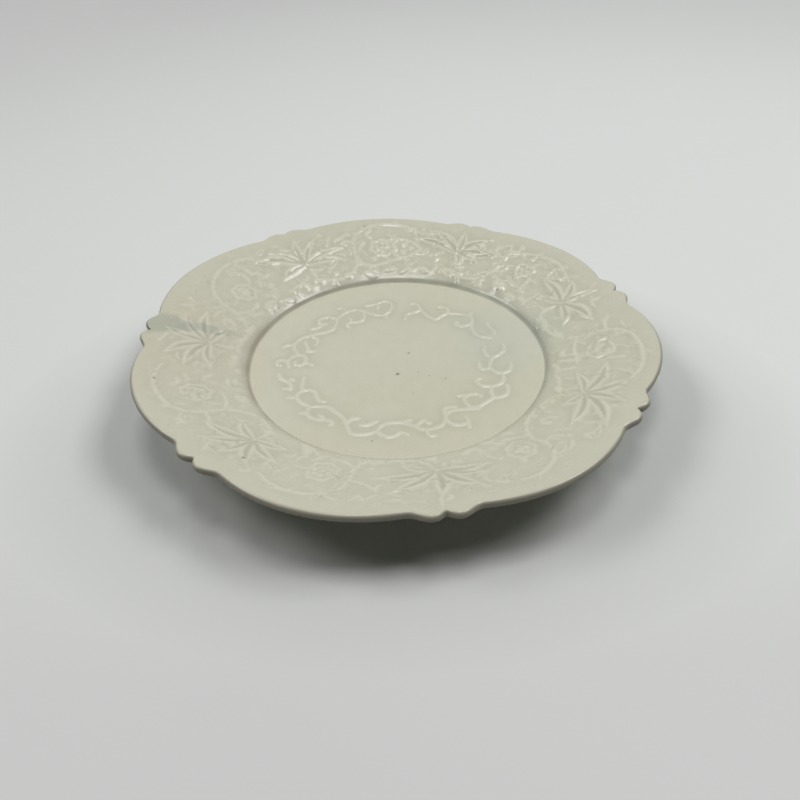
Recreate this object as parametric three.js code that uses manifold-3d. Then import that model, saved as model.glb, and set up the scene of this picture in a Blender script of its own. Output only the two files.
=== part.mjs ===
// Lobed ceramic plate with sprigged relief, in millimetres.
// The plate's axis is +Z, the foot stands on z = 0, and the side that faces the eater is -Y.
import * as THREE from 'three';
import Module from 'manifold-3d';
import { mergeVertices } from 'three/addons/utils/BufferGeometryUtils.js';

// Plate body
const LOBE_RADIUS = 120;
const FLOOR_THICKNESS = 6;
const WELL_RADIUS = 71.4;
const FLOOR_FILLET = 1.8;
const WALL_RUN = 1.4;
const WALL_HEIGHT = 3;
const SHOULDER_ROUND = 1.6;
const FLANGE_RISE = 12.6;
const FLANGE_THICKNESS = 4.6;
const EDGE_THICKNESS = 3.6;
const HEEL_RADIUS = 79;
const HEEL_ROUND = 4;
const TRIM_RADIUS = 100;

// Lobed edge: two small bumps with a cut between them where neighbouring lobes meet
const NOTCH_BEARINGS = [17.4, 67.7, 121.1, 177.1, 225.9, 277.9, 328.6];
const NOTCH_DEPTH = 3.9;
const BUMP_REACH = 5.4;
const BUMP_DEPTH = 0.6;
const FLANK_REACH = 15;
const FLANK_DEPTH = 4.4;
const LOBE_FULLNESS = 0.6;

// Foot ring
const FOOT_HEIGHT = 9;
const FOOT_OUTER_RADIUS = 66;
const FOOT_SEAT_WIDTH = 8;
const FOOT_TREAD_WIDTH = 4.2;
const FOOT_TREAD_ROUND = 0.9;
const FOOT_MARGIN = 3;

// Sprigged relief
const LUTE_GAP = 0.25;
const RELIEF_HEIGHT = 1;
const BAND_RADIUS = 90;
const LEAF_LEADS = [4, 2, 0.4, -0.4, 1.6, 1.2, 4.4];
const LEAF_RADII = [90.7, 93, 91.3, 88.7, 88.7, 86.5, 89.3];
const LEAF_BOSS_RADIUS = 2.4;
const LEAFLET_HALF_WIDTH = 2.7;
const LEAFLET_GROOVE = 0.45;
const LEAFLET_BEARINGS = [85, 40, 12, -28, 129, 167, 206];
const LEAFLET_LENGTHS = [18.5, 19.5, 20.5, 14.5, 18, 23, 15.7];
const LEAFLET_START = 0.6;
const VINE_HALF_WIDTH = 1;
const VINE_DROP = 5.2;
const VINE_PATH = [
  [3, 77.8], [10, 76.6], [18, 76.6], [25.5, 79], [30, 85],
  [31.8, 93], [34.5, 101.5], [40, 107.2], [50, 110.4], [60, 109.6],
];
const TENDRIL_PATH = [[30.2, 85.6], [34, 82], [40, 79.2], [44.5, 78]];
const FLOWER_PLACE = [44.6, 92];
const FLOWER_BOSS_RADIUS = 2.3;
const PETAL_COUNT = 6;
const PETAL_LENGTH = 6.8;
const PETAL_HALF_WIDTH = 2.3;
const STALK_PATH = [[49, 90.5], [52, 87], [52.6, 82.5], [51.4, 78.6]];
const STALK_HALF_WIDTH = 0.8;

// Wreath of scroll lengths on the floor of the well
const WREATH_CENTRE = [-1.3, -4.4];
const WREATH_RADIUS = 49;
const WREATH_SPANS = [[93, 139], [23, 81], [-43, 14], [-97, -49], [195, 257], [150, 187]];
const SCROLL_PITCH = 21.4;
const SCROLL_SWAY = 2.2;
const SCROLL_CURL_RADIUS = 4.2;
const SCROLL_HALF_WIDTH = 0.8;
const SCROLL_HEIGHT = 0.8;

// Heights and radii that follow from the values above
const FLOOR_Z = FOOT_HEIGHT + FLOOR_THICKNESS;
const SHOULDER_RADIUS = WELL_RADIUS + WALL_RUN;
const SHOULDER_Z = FLOOR_Z + WALL_HEIGHT;
const LIP_ROUND = EDGE_THICKNESS / 2;
const LIP_RADIUS = LOBE_RADIUS - LIP_ROUND;
const BAY_ANGLE = (2 * Math.PI) / NOTCH_BEARINGS.length;
const STEPS_PER_BAY = 20;
const FOOT_STEPS = 64;
const BOSS_STEPS = 10;
const CROWN_SHARE = 0.55;
const BOSS_TAPER = 0.7;

const wasm = await Module();
wasm.setup();

const radians = THREE.MathUtils.degToRad;
const plate = new THREE.Group();
plate.name = 'lobed_plate';

const glaze = new THREE.MeshStandardMaterial({ color: 0xc4c2b1, roughness: 0.22, metalness: 0 });
const thinGlaze = new THREE.MeshStandardMaterial({ color: 0xcfcdbd, roughness: 0.24, metalness: 0 });
const footClay = new THREE.MeshStandardMaterial({ color: 0xbdb59c, roughness: 0.45, metalness: 0 });

function addPiece(name, geometry, material) {
  const mesh = new THREE.Mesh(geometry, material);
  mesh.name = name;
  plate.add(mesh);
}

// Top of the flange at a distance from the axis
function flangeZ(radius) {
  return SHOULDER_Z + (FLANGE_RISE * (radius - SHOULDER_RADIUS)) / (LIP_RADIUS - SHOULDER_RADIUS);
}

// Bearing of a notch, counted on past a full turn
function notchAngle(index) {
  const count = NOTCH_BEARINGS.length;
  const turns = Math.floor(index / count);
  return radians(NOTCH_BEARINGS[index - turns * count]) + turns * 2 * Math.PI;
}

// How far the edge is drawn in, by the distance along the edge to the nearest notch
function edgeDepth(reach, halfBay) {
  if (reach < BUMP_REACH) {
    return BUMP_DEPTH + (NOTCH_DEPTH - BUMP_DEPTH) * (1 - reach / BUMP_REACH) ** 2;
  }
  if (reach < FLANK_REACH) {
    const t = (reach - BUMP_REACH) / (FLANK_REACH - BUMP_REACH);
    return BUMP_DEPTH + (FLANK_DEPTH - BUMP_DEPTH) * (0.5 - 0.5 * Math.cos(Math.PI * t));
  }
  const t = (reach - FLANK_REACH) / (halfBay - FLANK_REACH);
  return FLANK_DEPTH * (0.5 + 0.5 * Math.cos(Math.PI * t ** LOBE_FULLNESS));
}

// Plate body: a turned profile whose outer band is drawn in, down the flange's slope, to the lobed edge
function plateBody() {
  const profile = new THREE.Path();
  const lipZ = flangeZ(LIP_RADIUS) - LIP_ROUND;
  const wallMiddle = [WELL_RADIUS + WALL_RUN / 2, FLOOR_Z + WALL_HEIGHT / 2];
  const roundEnd = SHOULDER_RADIUS + SHOULDER_ROUND;
  const heelZ = flangeZ(HEEL_RADIUS) - FLANGE_THICKNESS;
  const heelBend = HEEL_RADIUS - HEEL_ROUND;
  const seatRadius = FOOT_OUTER_RADIUS + FOOT_MARGIN;
  profile.moveTo(0, FLOOR_Z);
  profile.lineTo(WELL_RADIUS - FLOOR_FILLET, FLOOR_Z);
  profile.quadraticCurveTo(WELL_RADIUS, FLOOR_Z, ...wallMiddle);
  profile.quadraticCurveTo(SHOULDER_RADIUS, SHOULDER_Z, roundEnd, flangeZ(roundEnd));
  profile.lineTo(TRIM_RADIUS, flangeZ(TRIM_RADIUS));
  profile.absarc(LIP_RADIUS, lipZ, LIP_ROUND, Math.PI / 2, -Math.PI / 2, true);
  profile.lineTo(TRIM_RADIUS, flangeZ(TRIM_RADIUS) - FLANGE_THICKNESS);
  profile.lineTo(HEEL_RADIUS, heelZ);
  profile.quadraticCurveTo(heelBend, flangeZ(heelBend) - FLANGE_THICKNESS, seatRadius, FOOT_HEIGHT);
  profile.lineTo(0, FOOT_HEIGHT);

  const points = profile.getPoints(2).reverse();
  const geometry = new THREE.LatheGeometry(points, NOTCH_BEARINGS.length * STEPS_PER_BAY);
  const position = geometry.getAttribute('position');
  for (let i = 0; i < position.count; i += 1) {
    const step = Math.floor(i / points.length);
    const point = points[i % points.length];
    const bay = Math.floor(step / STEPS_PER_BAY);
    const t = step / STEPS_PER_BAY - bay;
    const crowding = 0.25 * t + 0.375 * (1 - Math.cos(Math.PI * t));
    const halfBay = (notchAngle(bay + 1) - notchAngle(bay)) / 2;
    const angle = notchAngle(bay) + 2 * halfBay * crowding;
    const away = Math.min(crowding, 1 - crowding) * 2 * halfBay * LOBE_RADIUS;
    const edge = LOBE_RADIUS - edgeDepth(away, halfBay * LOBE_RADIUS);
    const share = Math.max(0, (point.x - TRIM_RADIUS) / (LOBE_RADIUS - TRIM_RADIUS));
    const radius = point.x + share * (edge - LOBE_RADIUS);
    const z = point.y + flangeZ(radius) - flangeZ(point.x);
    position.setXYZ(i, radius * Math.cos(angle), radius * Math.sin(angle), z);
  }
  return geometry;
}

// Foot ring: wide where it is luted on, narrower and rounded where it stands
function footRing() {
  const inner = FOOT_OUTER_RADIUS - FOOT_SEAT_WIDTH;
  const taper = (FOOT_SEAT_WIDTH - FOOT_TREAD_WIDTH) / 2;
  const section = [
    [inner, FOOT_HEIGHT],
    [inner + taper, FOOT_TREAD_ROUND],
    [inner + taper + FOOT_TREAD_ROUND, 0],
    [FOOT_OUTER_RADIUS - taper - FOOT_TREAD_ROUND, 0],
    [FOOT_OUTER_RADIUS - taper, FOOT_TREAD_ROUND],
    [FOOT_OUTER_RADIUS, FOOT_HEIGHT],
    [inner, FOOT_HEIGHT],
  ];
  const points = section.map(([radius, z]) => new THREE.Vector2(radius, z));
  return new THREE.LatheGeometry(points, FOOT_STEPS).rotateX(Math.PI / 2);
}

// A strip of clay along a flat path: the section at each point comes from its half width
function strip(path, halfWidth, section) {
  const corners = section(halfWidth(0)).length;
  const vertices = [];
  const triangles = [];
  path.forEach((point, i) => {
    const before = path[Math.max(i - 1, 0)];
    const after = path[Math.min(i + 1, path.length - 1)];
    const along = new THREE.Vector2().subVectors(after, before).normalize();
    section(halfWidth(i / (path.length - 1))).forEach(([across, height]) => {
      vertices.push(point.x + across * along.y, point.y - across * along.x, height);
    });
  });
  for (let i = 0; i + 1 < path.length; i += 1) {
    for (let k = 0; k < corners; k += 1) {
      const a = i * corners + k;
      const b = i * corners + ((k + 1) % corners);
      triangles.push(a, b + corners, b, a, a + corners, b + corners);
    }
  }
  const last = (path.length - 1) * corners;
  for (let k = 1; k + 1 < corners; k += 1) {
    triangles.push(0, k, k + 1, last, last + k + 1, last + k);
  }
  return solid(vertices, triangles);
}

function solid(vertices, triangles) {
  const mesh = new wasm.Mesh({
    numProp: 3,
    vertProperties: Float32Array.from(vertices),
    triVerts: Uint32Array.from(triangles),
  });
  return new wasm.Manifold(mesh);
}

// Sections run from the right edge over the crown to the left edge
const cord = (height) => (w) => [[w, 0], [CROWN_SHARE * w, height], [-CROWN_SHARE * w, height], [-w, 0]];

const groovedBlade = (w) => {
  const crown = RELIEF_HEIGHT * Math.min(1, 0.45 + (0.55 * w) / LEAFLET_HALF_WIDTH);
  const groove = crown - (LEAFLET_GROOVE * w) / LEAFLET_HALF_WIDTH;
  return [[w, 0], [CROWN_SHARE * w, crown], [0, groove], [-CROWN_SHARE * w, crown], [-w, 0]];
};

function smoothPath(points, count) {
  const curve = new THREE.SplineCurve(points.map(([x, y]) => new THREE.Vector2(x, y)));
  return curve.getSpacedPoints(count);
}

function boss(across, out, radius, height) {
  const button = new THREE.CylinderGeometry(BOSS_TAPER * radius, radius, height, BOSS_STEPS);
  button.rotateX(Math.PI / 2).translate(across, out, height / 2);
  button.deleteAttribute('normal');
  button.deleteAttribute('uv');
  const merged = mergeVertices(button);
  return solid(merged.getAttribute('position').array, merged.getIndex().array);
}

// One sprig from its strips, carried from the flat onto the plate
function sprig(solids, lay) {
  const mesh = wasm.Manifold.union(solids).getMesh();
  const geometry = new THREE.BufferGeometry();
  geometry.setAttribute('position', new THREE.BufferAttribute(Float32Array.from(mesh.vertProperties), 3));
  geometry.setIndex(Array.from(mesh.triVerts));
  const position = geometry.getAttribute('position');
  for (let i = 0; i < position.count; i += 1) {
    const spot = lay(position.getX(i), position.getY(i), position.getZ(i));
    position.setXYZ(i, spot.x, spot.y, spot.z);
  }
  return mergeVertices(geometry, 1e-3);
}

// Bearing of a leaf, which leads its notch by a few degrees
function leafAngle(index) {
  const count = LEAF_LEADS.length;
  return notchAngle(index) + radians(LEAF_LEADS[(index + count) % count]);
}

// On the flange, across runs clockwise along the band from the leaf and out is the distance from the axis
function onFlange(start, stretch) {
  return (across, out, height) => {
    const angle = start - (stretch * across) / BAND_RADIUS;
    return new THREE.Vector3(
      out * Math.cos(angle),
      out * Math.sin(angle),
      flangeZ(out) + LUTE_GAP + height,
    );
  };
}

const onFloor = (x, y, height) => new THREE.Vector3(
  WREATH_CENTRE[0] + x,
  WREATH_CENTRE[1] + y,
  FLOOR_Z + LUTE_GAP + height,
);

const bladeShape = (t) => LEAFLET_HALF_WIDTH * Math.max(0.12, Math.sin(Math.PI * (0.16 + 0.84 * t)));

function leaf(leafRadius) {
  const blades = LEAFLET_BEARINGS.map((bearing, i) => {
    const length = LEAFLET_LENGTHS[i];
    const direction = new THREE.Vector2(Math.cos(radians(bearing)), Math.sin(radians(bearing)));
    const path = [0, 0.35, 0.75, 1].map((t) => new THREE.Vector2(0, leafRadius)
      .addScaledVector(direction, LEAFLET_START + t * (length - LEAFLET_START)));
    return strip(path, bladeShape, groovedBlade);
  });
  return [boss(0, leafRadius, LEAF_BOSS_RADIUS, RELIEF_HEIGHT), ...blades];
}

// The vine hangs from under its leaf, runs along the inner edge and loops out over the flower
function vine(leafRadius) {
  const taper = (t) => VINE_HALF_WIDTH * Math.min(1, 0.5 + 4 * t, 0.5 + 4 * (1 - t));
  const tendrilTaper = (t) => VINE_HALF_WIDTH * (0.9 - 0.4 * t);
  return [
    strip(smoothPath([[0, leafRadius - VINE_DROP], ...VINE_PATH], 22), taper, cord(RELIEF_HEIGHT)),
    strip(smoothPath(TENDRIL_PATH, 6), tendrilTaper, cord(0.8 * RELIEF_HEIGHT)),
  ];
}

function flower() {
  const [across, out] = FLOWER_PLACE;
  const petals = Array.from({ length: PETAL_COUNT }, (_, i) => {
    const bearing = (2 * Math.PI * i) / PETAL_COUNT;
    const direction = new THREE.Vector2(Math.cos(bearing), Math.sin(bearing));
    const path = [0.8, 0.6 * PETAL_LENGTH, PETAL_LENGTH].map((reach) =>
      new THREE.Vector2(across, out).addScaledVector(direction, reach));
    const width = (t) => PETAL_HALF_WIDTH * (0.4 + 0.6 * Math.sin(Math.PI * (0.1 + 0.8 * t)));
    return strip(path, width, cord(0.75 * RELIEF_HEIGHT));
  });
  const stalk = strip(smoothPath(STALK_PATH, 6), () => STALK_HALF_WIDTH, cord(0.6 * RELIEF_HEIGHT));
  return [boss(across, out, FLOWER_BOSS_RADIUS, RELIEF_HEIGHT), ...petals, stalk];
}

// One scroll length: a swaying stem with a curl off each crest
function scrollLength(from, to) {
  const waves = Math.max(1, Math.round((radians(to - from) * WREATH_RADIUS) / SCROLL_PITCH));
  const stemPoint = (t) => {
    const angle = radians(from + (to - from) * t);
    const radius = WREATH_RADIUS + SCROLL_SWAY * Math.sin(2 * Math.PI * waves * t);
    return new THREE.Vector2(radius * Math.cos(angle), radius * Math.sin(angle));
  };
  const stemSteps = 6 * waves;
  const stem = Array.from({ length: stemSteps + 1 }, (_, i) => stemPoint(i / stemSteps));
  const solids = [strip(stem, () => SCROLL_HALF_WIDTH, cord(SCROLL_HEIGHT))];
  for (let crest = 0; crest < 2 * waves; crest += 1) {
    const root = stemPoint((crest + 0.5) / (2 * waves));
    const side = crest % 2 === 0 ? -1 : 1;
    const out = root.clone().normalize().multiplyScalar(side);
    const start = Math.atan2(-out.y, -out.x);
    const middle = root.clone().addScaledVector(out, SCROLL_CURL_RADIUS);
    const path = Array.from({ length: 6 }, (_, i) => {
      const turn = start - side * 1.4 * Math.PI * (i / 5);
      const radius = SCROLL_CURL_RADIUS * (1 - 0.3 * (i / 5));
      return new THREE.Vector2(middle.x + radius * Math.cos(turn), middle.y + radius * Math.sin(turn));
    });
    solids.push(strip(path, (t) => SCROLL_HALF_WIDTH * (1 - 0.35 * t), cord(SCROLL_HEIGHT)));
  }
  return solids;
}

addPiece('plate_body', plateBody(), glaze);
addPiece('foot_ring', footRing(), footClay);

LEAF_RADII.forEach((leafRadius, i) => {
  const start = leafAngle(i);
  const stretch = (start - leafAngle(i - 1)) / BAY_ANGLE;
  addPiece(`rim_leaf_${i + 1}`, sprig(leaf(leafRadius), onFlange(start, 1)), thinGlaze);
  addPiece(`rim_vine_${i + 1}`, sprig(vine(leafRadius), onFlange(start, stretch)), thinGlaze);
  addPiece(`rim_flower_${i + 1}`, sprig(flower(), onFlange(start, stretch)), thinGlaze);
});

WREATH_SPANS.forEach(([from, to], i) => {
  addPiece(`well_scroll_${i + 1}`, sprig(scrollLength(from, to), onFloor), thinGlaze);
});

export default plate;
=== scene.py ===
"""Looks of the lobed plate: a glazed skin with its relief, a foot ring, floor, light and camera."""
import math

import bpy
import numpy as np
from mathutils import Matrix, Vector


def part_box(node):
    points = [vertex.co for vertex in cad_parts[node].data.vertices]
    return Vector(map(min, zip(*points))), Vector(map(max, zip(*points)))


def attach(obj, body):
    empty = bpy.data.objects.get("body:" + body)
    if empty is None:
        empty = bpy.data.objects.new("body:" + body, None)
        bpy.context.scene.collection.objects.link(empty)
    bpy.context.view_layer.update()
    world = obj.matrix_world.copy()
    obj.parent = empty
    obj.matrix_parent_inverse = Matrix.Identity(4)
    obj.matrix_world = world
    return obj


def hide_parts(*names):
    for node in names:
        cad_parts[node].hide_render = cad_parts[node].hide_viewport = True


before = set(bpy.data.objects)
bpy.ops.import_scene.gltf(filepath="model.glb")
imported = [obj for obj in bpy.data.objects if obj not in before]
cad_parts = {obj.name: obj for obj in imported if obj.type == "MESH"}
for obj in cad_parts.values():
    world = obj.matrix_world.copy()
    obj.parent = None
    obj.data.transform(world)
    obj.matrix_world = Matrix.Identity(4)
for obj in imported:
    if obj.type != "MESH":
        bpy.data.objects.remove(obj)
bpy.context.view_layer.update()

# Lengths are in millimetres until a mesh is made
MM = 0.001

# Plate body, as in the solids
FOOT_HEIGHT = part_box("foot_ring")[1].z / MM
LIP_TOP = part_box("plate_body")[1].z / MM
LOBE_RADIUS = 120
FLOOR_THICKNESS = 6
SHOULDER_RADIUS = 72.8
WALL_HEIGHT = 3
FLANGE_THICKNESS = 4.6
EDGE_THICKNESS = 3.6
EDGE_SQUARENESS = 2.2
HEEL_RADIUS = 79
HEEL_ROUND = 4
TRIM_RADIUS = 100
SEAT_RADIUS = 69
NOTCH_BEARINGS = (17.4, 67.7, 121.1, 177.1, 225.9, 277.9, 328.6)
NOTCH_DEPTH = 3.9
BUMP_REACH = 5.4
BUMP_DEPTH = 0.6
FLANK_REACH = 15
FLANK_DEPTH = 4.4
LOBE_FULLNESS = 0.6

# Foot ring, as in the solids
FOOT_OUTER_RADIUS = 66
FOOT_SEAT_WIDTH = 8
FOOT_TREAD_WIDTH = 4.2
FOOT_TREAD_ROUND = 0.9
# Its bare tread: how high the glaze ends, how soft that edge is, and waves in it as size, turns and phase
FOOT_BARE_HEIGHT = 1.5
FOOT_BARE_BLUR = 0.18
FOOT_BARE_WANDER = ((0.3, 5, 1), (0.18, 13, 0), (0.1, 41, 0))

# The well as fired: its floor sank a little, and glaze fills the foot of the wall and rounds the shoulder.
# Corners of the section, as radius and height over the floor
FLOOR_SINK = 0.8
WALL_FOOT = (69.8, 0)
FOOT_CORNER = (70.25, 0)
WALL_LOW = (70.6, 0.45)
WALL_HIGH = (71.7, 1.8)
SHOULDER_CORNER = (72.3, 2.55)
SHOULDER_END = (76.4, 4.4)
FLANGE_CORNER = (97, 10.3)
FLANGE_START = 110

# The rim left the kiln a little out of true: once and twice round, as cosine and sine heights at the edge
WARP_ONCE = (-2.49, -1.38)
WARP_TWICE = (0.81, -0.74)
# and its lobes at either side are a little fuller, at some distance from a notch
WIDENING = 1.7
WIDENING_REACH = (4, 22)
# and two of its notches are shallower: the share of the depth that each shows
NOTCH_SHARES = (1, 0.5, 0.55, 1, 1, 1, 1)

# Mesh steps: round the fine part, outwards with and without relief, and on each bend
FINE_STEPS = 1260
RELIEF_STEP = 0.45
MIDDLE_STEP = 2
TRIM_STEP = 1.5
HEEL_STEP = 2.5
BASE_STEP = 3
LIP_STEPS = 8
FOOT_BEND_STEPS = 8
SHOULDER_BEND_STEPS = 11
FLANGE_BEND_STEPS = 78
HEEL_BEND_STEPS = 10
FOOT_STEP = 0.5
FOOT_SEAT_STEP = 2
FOOT_TREAD_BEND_STEPS = 6
# Rings have fewer steps inside these radii
MIDDLE_RADIUS = 4
PLAIN_RADIUS = 31
UNDER_PLAIN_RADIUS = 92
# Discs that the top and the underside are laid out on: middle and radius in the square of the UV map
TOP_DISC = (0.405, 0.4)
UNDER_DISC = (0.815, 0.18)

SHOULDER_Z = FOOT_HEIGHT + FLOOR_THICKNESS + WALL_HEIGHT
FLOOR_Z = SHOULDER_Z - WALL_HEIGHT - FLOOR_SINK
LIP_ROUND = EDGE_THICKNESS / 2
LIP_RADIUS = LOBE_RADIUS - LIP_ROUND
# The lip's darker edge, a warmer tone where its glaze is thin and painted shade on its outer face, is full
# at this share of its rounding on top, and fades over a width underneath
LIP_SHADE_SHARE = 0.95
LIP_SHADE_FADE = 4
BAYS = len(NOTCH_BEARINGS)

# Rim relief, one unit for each notch: a leaf, a vine that loops clockwise to the next leaf, twigs and
# what the loop holds. Places are across and out: clockwise from the notch along a circle of
# BAND_RADIUS, and from the axis. A leaflet is its tip and half width, a bloom its middle and radius,
# a bud its middle, length and bearing, and a bead its middle and radius.
BAND_RADIUS = 96
UNITS = (
    dict(
        leaf=(-6.4, 90),
        leaflets=((-31.5, 95.6, 2.7), (-17.5, 104.5, 2.7), (-4.4, 109, 2.3), (14.6, 96.8, 3.4),
                  (11.8, 83, 2.3), (-20, 83.4, 2.2)),
        vine=((-6.5, 87), (-7, 82), (-4, 77.5), (2, 75.4), (10, 75.2), (17, 76.3), (22, 79.5), (25, 84),
              (26.2, 90), (25.8, 97), (26.2, 102), (28.5, 106.5), (33, 109.8), (39, 111.6), (46, 112.4),
              (53, 112.2), (59, 110.6), (63, 108.4)),
        twigs=(((15.5, 104), (18.5, 101.6), (22, 100.2), (25.8, 100.2)),
               ((26, 86), (31, 84.4), (37, 83.4), (43, 84), (49, 84.2)),
               ((47.5, 105), (47.2, 101), (47.6, 97)),
               ((44.8, 76), (45.5, 81), (46.6, 83.8)),
               ((52, 83.6), (53, 79), (54, 74.8)),
               ((1.2, 107), (1.4, 103), (3.4, 101.4), (6, 101.8))),
        petals=(((31.5, 99.5), (32.5, 95.5), (35, 91.5), (39, 89.2), (43, 89)),
                ((36, 99.5), (39.5, 100.6), (42.8, 100), (44, 97), (45.5, 93), (44.5, 90)),
                ((36, 96.5), (39, 94.6), (41, 91.6))),
        beads=((41.4, 98.2, 2.2),),
    ),
    dict(
        leaf=(0, 93),
        leaflets=((-26, 101.4, 2.7), (-16, 109, 3.1), (-1, 111, 2.6), (13.5, 108, 3), (17, 97, 3),
                  (13.5, 89.5, 2.4), (4, 84.4, 2.2)),
        vine=((1, 90), (2, 84), (3, 79), (7, 75.8), (13, 75.6), (19, 77.4), (24, 81.5), (26.4, 87.5),
              (26.8, 95), (27.4, 100.8), (31, 104.2), (36, 106.8), (42, 108.6), (49, 109.2), (55, 107.8),
              (61, 105), (66, 102.6)),
        twigs=(((24.4, 109.4), (26, 105.4), (28, 102.4)),
               ((31, 110), (30, 106.5), (28.6, 103)),
               ((19, 102), (22.4, 99), (26.4, 97.4)),
               ((26.6, 86.5), (30, 83.4), (35, 82), (41, 83.4), (47, 83)),
               ((48.8, 92), (49.6, 87), (50, 82.6)),
               ((10.4, 101.4), (12, 102.4), (13.6, 101), (12.6, 99.4)),
               ((-33, 74.6), (-29.5, 76), (-26, 78.4))),
        buds=((41.6, 93.2, 11, -90), (57.4, 101, 9, -115)),
        beads=((42.4, 88.6, 1.7), (38, 77.6, 4.6), (34, 79.4, 2.6), (4, 76.6, 2.4)),
    ),
    dict(
        leaf=(-0.6, 91.4),
        leaflets=((-23.6, 104.6, 3.2), (-14.6, 107, 2.2), (-6, 106, 2), (1.8, 111, 2.3), (12.6, 108, 2),
                  (24, 97.6, 2.4), (22.5, 88.6, 2.6), (-19.4, 86.4, 2.5)),
        vine=((-0.4, 88), (0.4, 82), (4, 77.4), (9, 75.6), (16, 75.4), (23, 77), (27.4, 81.4), (29.6, 87.4),
              (30, 94), (30.8, 100.6), (33.6, 106.4), (38, 110.4), (44, 112.8), (51, 113.2), (57.5, 111.6),
              (63, 108.4), (68, 105), (72, 103.2)),
        twigs=(((15.4, 100), (17.6, 103.4), (19, 106.6)),
               ((21.4, 103.6), (25, 105.4), (29.5, 107.8)),
               ((24, 100.6), (27, 101.6), (30.4, 100.4)),
               ((30, 86), (34.5, 82.4), (40, 81), (46, 82.4), (52, 84)),
               ((31.4, 75.6), (34, 77.6), (38, 77.4), (41.4, 75.4)),
               ((-20, 77.6), (-16, 79.6), (-11.5, 79), (-8, 76.6)),
               ((-45, 78), (-41, 79.6), (-36, 78))),
        bloom=(46, 94.4, 6.2),
        buds=((60.4, 93.4, 16, 0),),
        beads=((13.4, 79.6, 1.8), (21, 76.4, 2.6), (36.6, 80.6, 2), (-40, 76.4, 2.6)),
    ),
    dict(
        leaf=(1.3, 89.4),
        leaflets=((-19.6, 98.4, 2.6), (-12.8, 107, 2.7), (4, 110, 2.4), (14, 104, 2.4), (23.6, 97.6, 2.6),
                  (18.6, 83.4, 2.3), (-19.4, 86.2, 2.3)),
        vine=((1.4, 86.5), (2, 81), (5.6, 76.8), (12, 75.4), (19, 75.8), (26, 78.2), (31, 83), (33.2, 89),
              (34, 95), (37, 100.4), (41.6, 105), (47, 108.4), (54, 110.6), (61, 110.8), (68, 109),
              (73, 106)),
        twigs=(((21, 109.6), (23, 106), (25.4, 104)),
               ((28, 109.4), (26.6, 106.6), (25.4, 104)),
               ((19.5, 86), (22.4, 88.6), (25, 86.4), (22.6, 84.2)),
               ((33, 86), (37, 83), (42, 81.6), (48, 82.6)),
               ((60, 90), (63, 93), (66.5, 95.4)),
               ((36, 81), (38, 79), (41, 78))),
        bloom=(49.6, 92, 5.4),
        beads=((49.6, 91, 2.8),),
    ),
    dict(
        leaf=(-2.4, 88.6),
        leaflets=((-21.5, 94.8, 2.6), (-14, 103.4, 2.8), (-1.6, 106.4, 2.4), (10.6, 106, 2.4),
                  (19.6, 98.4, 2.8), (15.4, 83.6, 2.3), (-17.6, 83, 2.3)),
        vine=((-2, 86), (-1, 80.6), (3, 76.8), (9, 75.4), (16, 76), (21.6, 79.4), (25, 84.4), (26, 90),
              (26, 96), (26.8, 101.4), (29.8, 106), (34.6, 109.4), (41, 111.2), (48, 111.4), (54.6, 109.8),
              (60, 107)),
        twigs=(((20, 109.8), (21.6, 106.8), (24, 104.4)),
               ((16.6, 97.6), (20, 96), (25.6, 95.4)),
               ((26, 87), (31, 84.6), (37, 83.6), (43, 84.6)),
               ((1.6, 109.6), (4, 105.6), (6.6, 102)),
               ((47, 79), (51, 80.4), (55, 78.6))),
        bloom=(41, 95, 6),
        beads=((50.6, 77, 2),),
    ),
    dict(
        leaf=(-2.6, 86.8),
        leaflets=((-25.6, 90.2, 2.6), (-22.6, 95.4, 1.9), (-16.4, 104, 3), (-0.3, 106.8, 3.4),
                  (17, 100.8, 3), (25, 90.6, 2.6), (14, 79.6, 2)),
        vine=((-2, 84.4), (1, 79.6), (7, 76.6), (15, 75.4), (23, 75.8), (29, 77.4), (33, 81.4), (34.6, 87),
              (34.2, 93), (34.8, 98.4), (37.6, 103.6), (42, 107.2), (48, 109.4), (54.6, 109.6), (60.6, 108),
              (66, 104.8)),
        twigs=(((0.4, 107), (0.6, 112.6)),
               ((22.4, 100.4), (24.4, 98.2), (28, 95.6), (32, 94), (34.2, 95.4)),
               ((34.4, 84), (39, 80.4), (45, 79.2), (51, 80.6), (55.4, 84.6)),
               ((33, 80.4), (30.4, 77.6), (29, 75.4)),
               ((26, 108), (28, 104.6), (30, 108))),
        bloom=(46.4, 90.4, 6.6),
    ),
    dict(
        leaf=(-7.2, 91),
        leaflets=((-31.4, 97.2, 3), (-18.4, 108.4, 2.8), (-3.2, 109, 2.6), (13.6, 108.8, 2.9),
                  (17.4, 94.8, 2.9), (5, 84.2, 2), (-24.6, 84.4, 2.1)),
        vine=((-7, 88), (-5.6, 83), (-2, 78.6), (4, 75.8), (11, 75), (18, 75.4), (25.6, 78.2), (31, 82.4),
              (33.8, 87.6), (33.6, 93.6), (35.4, 99.4), (39.4, 104.6), (45, 108), (51, 109.6), (57, 108.6),
              (63, 105.4), (66.4, 102), (66.6, 98.2)),
        twigs=(((25.6, 97), (27.4, 93.4), (30.4, 92.8), (33.4, 94.6)),
               ((28.6, 96.4), (30.4, 92.8)),
               ((34, 84), (38.6, 81.2), (45, 78.4)),
               ((14.6, 86.4), (15.6, 83.4), (18.6, 82), (21, 83.4), (20.4, 86), (17.8, 86)),
               ((19, 108.4), (20.6, 104.6), (22, 105), (23, 108.6)),
               ((-24, 75), (-19, 77.4), (-12, 78.6))),
        bloom=(43.6, 90.2, 6),
    ),
)

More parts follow.
